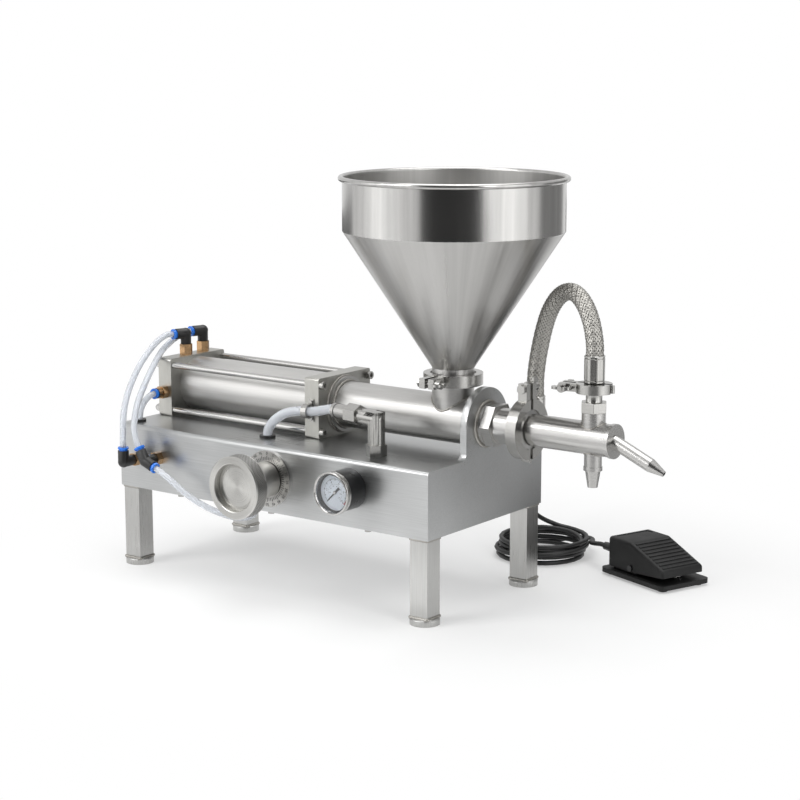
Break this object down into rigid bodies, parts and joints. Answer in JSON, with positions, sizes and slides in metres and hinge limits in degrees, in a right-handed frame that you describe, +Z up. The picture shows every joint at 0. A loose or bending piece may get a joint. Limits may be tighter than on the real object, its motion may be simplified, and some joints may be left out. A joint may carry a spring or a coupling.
{
  "type": "horizontal paste filling machine",
  "caption": "Bench-top piston filler for pastes: an air cylinder drives a product piston under a conical hopper, with clamped nozzle, hose loop, handwheel, gauge and foot switch.",
  "frame": {"origin": "on the table, in the middle of the four feet", "axes": "+Z up, +X along the machine towards the nozzle, -Y towards the front panel"},
  "size_m": [0.7362, 0.4955, 0.5162],
  "materials": {
    "satin_steel": "satin, finely brushed",
    "polished_steel": "bright, machined",
    "braided_steel": "woven wire braid",
    "spring_steel": "drawn wire",
    "piston_aluminium": "turned",
    "white_plastic": "smooth",
    "seal_rubber": "matte",
    "plain_brass": "machined",
    "black_nylon": "moulded, slightly satin",
    "blue_nylon": "glossy",
    "clear_tube": "clear, slightly milky",
    "lens_glass": "clear",
    "black_paint": "satin black",
    "grey_paint": "satin grey",
    "red_plastic": "smooth",
    "cord_rubber": "smooth black sheath"
  },
  "bodies": {
    "machine": {"base_housing": "satin_steel", "end_plate": "satin_steel", "bottom_cover": "satin_steel", "legs": "satin_steel", "machine_screws": "polished_steel", "rear_cap": "satin_steel", "front_cap": "satin_steel", "cylinder_barrel": "satin_steel", "tie_rods": "polished_steel", "static_seals": "seal_rubber", "product_cylinder": "satin_steel", "hopper": "satin_steel", "hopper_clamp": "polished_steel", "outlet_clamp": "polished_steel", "hose_clamp": "polished_steel", "outlet_nut": "polished_steel", "outlet_tube": "satin_steel", "nozzle_body": "satin_steel", "angled_spout": "satin_steel", "drip_tip": "polished_steel", "hose_port": "polished_steel", "hose_sleeves": "polished_steel", "braided_hose": "braided_steel", "inlet_spring": "spring_steel", "outlet_spring": "spring_steel", "dial_plate": "satin_steel", "regulator_body": "grey_paint", "gauge_case": "black_paint", "gauge_bezel": "polished_steel", "gauge_lens": "lens_glass", "brass_fittings": "plain_brass", "fitting_bodies": "black_nylon", "air_tubes": "clear_tube", "supply_fittings": "polished_steel", "solenoid_valve": "grey_paint", "cord_glands": "black_nylon", "pedal_base": "black_nylon", "pedal_pin": "polished_steel", "pedal_spring": "spring_steel", "micro_switch": "black_nylon", "cord_leads": "cord_rubber", "cord_coil": "cord_rubber"},
    "hand_wheel": {"handwheel": "polished_steel"},
    "throttle_stem": {"regulator_needle": "plain_brass"},
    "piston": {"air_piston": "piston_aluminium", "piston_rod": "polished_steel", "product_piston": "white_plastic", "piston_seals": "seal_rubber"},
    "inlet_poppet": {"inlet_valve": "white_plastic"},
    "outlet_poppet": {"outlet_valve": "white_plastic"},
    "needle": {"gauge_needle": "black_paint"},
    "release_a": {"collar_a": "blue_nylon"},
    "release_b": {"collar_b": "blue_nylon"},
    "release_c": {"collar_c": "blue_nylon"},
    "release_d": {"collar_d": "blue_nylon"},
    "release_e": {"collar_e": "blue_nylon"},
    "release_f": {"collar_f": "blue_nylon"},
    "wing_hopper": {"wing_nut_hopper": "polished_steel"},
    "wing_outlet": {"wing_nut_outlet": "polished_steel"},
    "wing_hose": {"wing_nut_hose": "polished_steel"},
    "treadle": {"pedal_treadle": "black_nylon"},
    "plunger": {"switch_plunger": "red_plastic"}
  },
  "joints": [
    {"name": "wheel_turn", "type": "hinge", "parent": "machine", "child": "hand_wheel", "pos_m": [0.005, -0.14, 0.146], "axis": [0, 1, 0], "range_deg": [0, 300]},
    {"name": "stem_feed", "type": "slide", "parent": "machine", "child": "throttle_stem", "axis": [0, 1, 0], "range_m": [0, 0.00126]},
    {"name": "piston_stroke", "type": "slide", "parent": "machine", "child": "piston", "axis": [1, 0, 0], "range_m": [0, 0.11]},
    {"name": "inlet_lift", "type": "slide", "parent": "machine", "child": "inlet_poppet", "axis": [0, 0, -1], "range_m": [0, 0.007], "stiffness_N_per_m": 60, "springref_m": -0.012, "deforming": ["inlet_spring"]},
    {"name": "outlet_lift", "type": "slide", "parent": "machine", "child": "outlet_poppet", "axis": [1, 0, 0], "range_m": [0, 0.007], "stiffness_N_per_m": 60, "springref_m": -0.012, "deforming": ["outlet_spring"]},
    {"name": "needle_swing", "type": "hinge", "parent": "machine", "child": "needle", "pos_m": [0.131, -0.146, 0.1515], "axis": [0, 1, 0], "range_deg": [0, 270], "stiffness_Nm_per_rad": 0.0005, "springref_deg": -17.19},
    {"name": "release_press_a", "type": "slide", "parent": "machine", "child": "release_a", "axis": [0.3173, 0.9483, 0], "range_m": [0, 0.0015], "stiffness_N_per_m": 200, "springref_m": -0.001},
    {"name": "release_press_b", "type": "slide", "parent": "machine", "child": "release_b", "axis": [0.3173, 0.9483, 0], "range_m": [0, 0.0015], "stiffness_N_per_m": 200, "springref_m": -0.001},
    {"name": "release_press_c", "type": "slide", "parent": "machine", "child": "release_c", "axis": [0, 1, 0], "range_m": [0, 0.0015], "stiffness_N_per_m": 200, "springref_m": -0.001},
    {"name": "release_press_d", "type": "slide", "parent": "machine", "child": "release_d", "axis": [0, 0, -1], "range_m": [0, 0.0015], "stiffness_N_per_m": 200, "springref_m": -0.001},
    {"name": "release_press_e", "type": "slide", "parent": "machine", "child": "release_e", "axis": [0.515, 0, -0.8572], "range_m": [0, 0.0015], "stiffness_N_per_m": 200, "springref_m": -0.001},
    {"name": "release_press_f", "type": "slide", "parent": "machine", "child": "release_f", "axis": [-0.9304, 0, 0.3665], "range_m": [0, 0.0015], "stiffness_N_per_m": 200, "springref_m": -0.001},
    {"name": "wing_hopper_turn", "type": "hinge", "parent": "machine", "child": "wing_hopper", "pos_m": [0.195, -0.049, 0.274], "axis": [1, 0, 0], "continuous": true},
    {"name": "wing_outlet_turn", "type": "hinge", "parent": "machine", "child": "wing_outlet", "pos_m": [0.301, 0, 0.273], "axis": [0, 1, 0], "continuous": true},
    {"name": "wing_hose_turn", "type": "hinge", "parent": "machine", "child": "wing_hose", "pos_m": [0.35852, -0.0059, 0.283], "axis": [0.1736, -0.9848, 0], "continuous": true},
    {"name": "treadle_press", "type": "hinge", "parent": "machine", "child": "treadle", "pos_m": [0.34246, 0.22667, 0.017], "axis": [0.3338, 0.9426, 0], "range_deg": [0, 5], "stiffness_Nm_per_rad": 1.2, "springref_deg": -20.05, "deforming": ["pedal_spring"]},
    {"name": "plunger_press", "type": "slide", "parent": "machine", "child": "plunger", "axis": [0, 0, -1], "range_m": [0, 0.0023]}
  ],
  "couplings": [
    {"joint": "stem_feed", "follows": "wheel_turn", "m_per_rad": 0.00023873},
    {"joint": "plunger_press", "follows": "treadle_press", "m_per_rad": 0.026}
  ]
}
